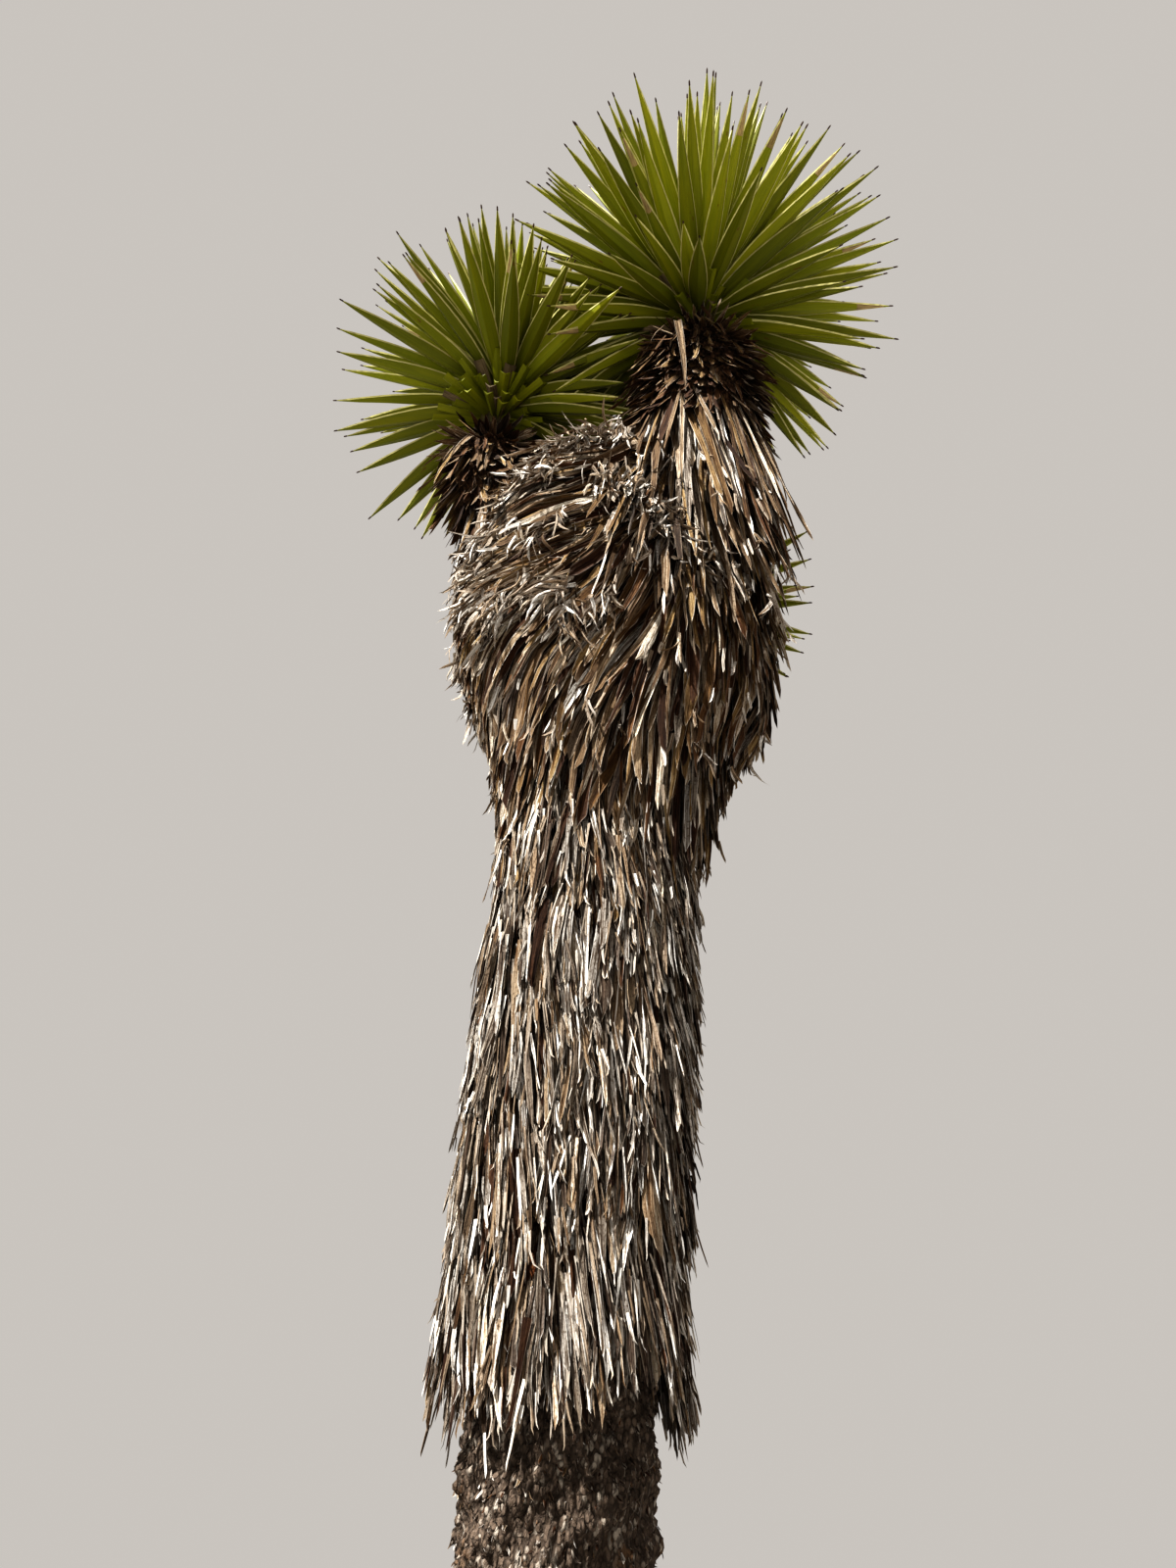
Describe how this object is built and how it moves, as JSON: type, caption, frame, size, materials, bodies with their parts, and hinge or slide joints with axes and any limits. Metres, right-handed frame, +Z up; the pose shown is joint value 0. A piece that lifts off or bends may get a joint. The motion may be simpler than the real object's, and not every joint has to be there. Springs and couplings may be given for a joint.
{
  "type": "faxon yucca",
  "caption": "Tree-like desert yucca: a leaning trunk in a skirt of hanging dead leaves, forked into arms that each end in a rosette of stiff dagger leaves.",
  "frame": {"origin": "middle of the flat cut under the trunk, at ground level", "axes": "+Z up along the trunk; +X towards the side that the trunk and the tallest arm lean to; -Y is the front, the side seen in the picture"},
  "size_m": [2.1143, 1.8525, 5.881],
  "materials": {
    "bark": "rough, dark and fibrous, with pale flecks and rust-brown patches",
    "dead_leaf": "dry, matt, weathered grey to straw, finely grooved along its length",
    "leaf_base": "dry, matt, dark red-brown with tan tips",
    "green_leaf": "waxy olive green with pale yellow edges and a brown point"
  },
  "bodies": {
    "root": {"trunk": "bark", "arm_right": "bark", "arm_left": "bark", "arm_rear": "bark", "skirt_tier_1": "dead_leaf", "skirt_tier_2": "dead_leaf", "skirt_tier_3": "dead_leaf", "skirt_tier_4": "dead_leaf", "skirt_tier_5": "dead_leaf", "shoulder_right": "dead_leaf", "shoulder_left": "dead_leaf", "shoulder_rear": "dead_leaf", "neck_right": "leaf_base", "neck_left": "leaf_base", "neck_rear": "leaf_base", "rosette_right": "green_leaf", "rosette_left": "green_leaf", "rosette_rear": "green_leaf"}
  },
  "joints": []
}
